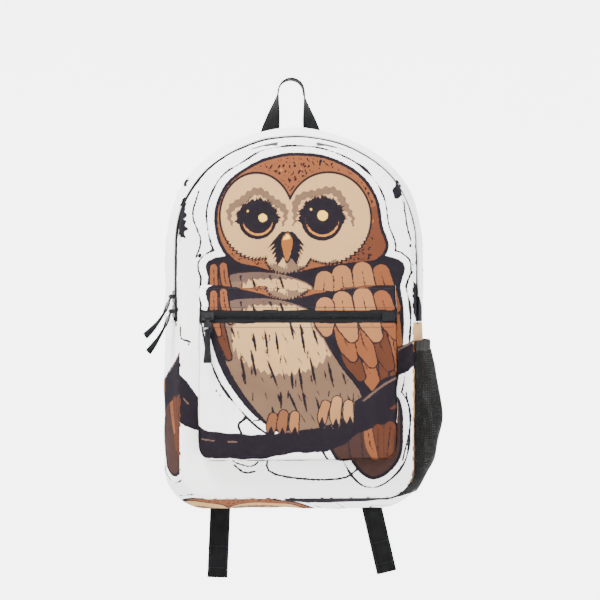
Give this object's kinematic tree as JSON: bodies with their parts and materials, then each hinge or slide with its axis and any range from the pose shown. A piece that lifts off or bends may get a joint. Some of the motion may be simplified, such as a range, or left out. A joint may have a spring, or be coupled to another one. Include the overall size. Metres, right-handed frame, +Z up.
{
  "type": "backpack",
  "caption": "Domed cloth backpack with printed front, zipped pocket, a mesh side pocket, padded shoulder straps and a webbing loop it hangs by.",
  "frame": {"origin": "underside of the haul loop's top, where a hook bears", "axes": "+Z up along the hanging bag, -Y out of the printed front, +Y out of the side that the wearer's back meets"},
  "size_m": [0.3443, 0.189, 0.6204],
  "materials": {
    "printed_cloth": null,
    "piping_cloth": "black cloth-covered cord",
    "back_cloth": "black woven polyester",
    "zip_tape": "black woven zip tape",
    "zip_coil": "black nylon coil",
    "foam": "closed-cell foam sheet",
    "lining_cloth": "thin woven polyester lining",
    "sleeve_cloth": "padded woven sleeve",
    "binding_tape": "grosgrain binding",
    "slider_metal": "black coated zinc",
    "pull_webbing": "narrow black ribbon",
    "black_webbing": "black woven webbing",
    "mesh": "black open-knit mesh",
    "elastic": "dark grey elastic binding",
    "strap_cloth": "black woven cloth over foam",
    "buckle_plastic": "moulded acetal"
  },
  "bodies": {
    "bag": {"anchor_tab_left": "back_cloth", "anchor_tab_right": "back_cloth", "back_foam": "foam", "back_panel": "back_cloth", "front_panel": "printed_cloth", "laptop_sleeve": "sleeve_cloth", "lining": "lining_cloth", "main_zip_coil": "zip_coil", "main_zip_tape": "zip_tape", "mesh_elastic": "elastic", "mesh_pocket": "mesh", "pocket_gusset": "printed_cloth", "pocket_panel": "printed_cloth", "pocket_top_strip": "printed_cloth", "pocket_zip_coil": "zip_coil", "pocket_zip_end": "zip_tape", "pocket_zip_tape": "zip_tape", "rear_piping": "piping_cloth", "side_bottom_gusset": "printed_cloth", "sleeve_binding": "binding_tape", "sleeve_tab": "binding_tape", "strap_yoke": "black_webbing", "zip_gusset_front": "printed_cloth", "zip_gusset_rear": "printed_cloth"},
    "haul_loop_body": {"haul_loop": "black_webbing"},
    "lower_slider_body": {"main_slider_lower": "slider_metal"},
    "upper_slider_body": {"main_slider_upper": "slider_metal"},
    "lower_pull": {"pull_tab_lower": "slider_metal", "pull_ribbon_lower": "pull_webbing"},
    "upper_pull": {"pull_tab_upper": "slider_metal", "pull_ribbon_upper": "pull_webbing"},
    "pocket_slider_body": {"pocket_slider": "slider_metal"},
    "pocket_tab_body": {"pocket_pull_tab": "slider_metal"},
    "pocket_ribbon_body": {"pocket_pull_ribbon": "pull_webbing"},
    "strap_left": {"strap_pad_left": "strap_cloth", "lock_webbing_left": "black_webbing", "lower_webbing_left": "black_webbing"},
    "lock_left": {"ladder_lock_left": "buckle_plastic"},
    "tail_left": {"webbing_tail_left": "black_webbing"},
    "strap_right": {"strap_pad_right": "strap_cloth", "lock_webbing_right": "black_webbing", "lower_webbing_right": "black_webbing"},
    "lock_right": {"ladder_lock_right": "buckle_plastic"},
    "tail_right": {"webbing_tail_right": "black_webbing"}
  },
  "joints": [
    {"name": "haul_loop_fold", "type": "hinge", "parent": "bag", "child": "haul_loop_body", "pos_m": [0, 0, -0.0736], "axis": [1, 0, 0], "range_deg": [-90, 55], "stiffness_Nm_per_rad": 0.03},
    {"name": "lower_slider_travel", "type": "slide", "parent": "bag", "child": "lower_slider_body", "axis": [0, 0, 1], "range_m": [0, 0.012]},
    {"name": "upper_slider_travel", "type": "slide", "parent": "lower_slider_body", "child": "upper_slider_body", "axis": [0, 0, 1], "range_m": [0, 0.038]},
    {"name": "lower_pull_swing", "type": "hinge", "parent": "lower_slider_body", "child": "lower_pull", "pos_m": [-0.14527, -0.1181, -0.286], "axis": [-0.3387, 0.9409, 0], "range_deg": [-12, 4]},
    {"name": "upper_pull_swing", "type": "hinge", "parent": "upper_slider_body", "child": "upper_pull", "pos_m": [-0.14527, -0.1181, -0.269], "axis": [-0.3387, 0.9409, 0], "range_deg": [0, 115]},
    {"name": "pocket_slider_travel", "type": "slide", "parent": "bag", "child": "pocket_slider_body", "axis": [1, 0, 0], "range_m": [0, 0.187]},
    {"name": "pocket_tab_swing", "type": "hinge", "parent": "pocket_slider_body", "child": "pocket_tab_body", "pos_m": [-0.103, -0.1541, -0.29106], "axis": [0, -0.9778, 0.2095], "range_deg": [-80, 80]},
    {"name": "pocket_ribbon_lift", "type": "hinge", "parent": "pocket_tab_body", "child": "pocket_ribbon_body", "pos_m": [-0.103, -0.15766, -0.30768], "axis": [-1, 0, 0], "range_deg": [0, 100]},
    {"name": "strap_left_swing", "type": "hinge", "parent": "bag", "child": "strap_left", "pos_m": [-0.046, 0.0022, -0.122], "axis": [1, 0, 0], "range_deg": [0, 25]},
    {"name": "lock_left_tilt", "type": "hinge", "parent": "strap_left", "child": "lock_left", "pos_m": [-0.084, 0.0085, -0.431], "axis": [1, 0, 0], "range_deg": [0, 50]},
    {"name": "tail_left_swing", "type": "hinge", "parent": "lock_left", "child": "tail_left", "pos_m": [-0.084, 0.01385, -0.4525], "axis": [1, 0, 0], "range_deg": [0, 75]},
    {"name": "strap_right_swing", "type": "hinge", "parent": "bag", "child": "strap_right", "pos_m": [0.046, 0.0022, -0.122], "axis": [1, 0, 0], "range_deg": [0, 25]},
    {"name": "lock_right_tilt", "type": "hinge", "parent": "strap_right", "child": "lock_right", "pos_m": [0.084, 0.0085, -0.431], "axis": [1, 0, 0], "range_deg": [0, 50]},
    {"name": "tail_right_swing", "type": "hinge", "parent": "lock_right", "child": "tail_right", "pos_m": [0.084, 0.01385, -0.4525], "axis": [1, 0, 0], "range_deg": [0, 75]}
  ]
}
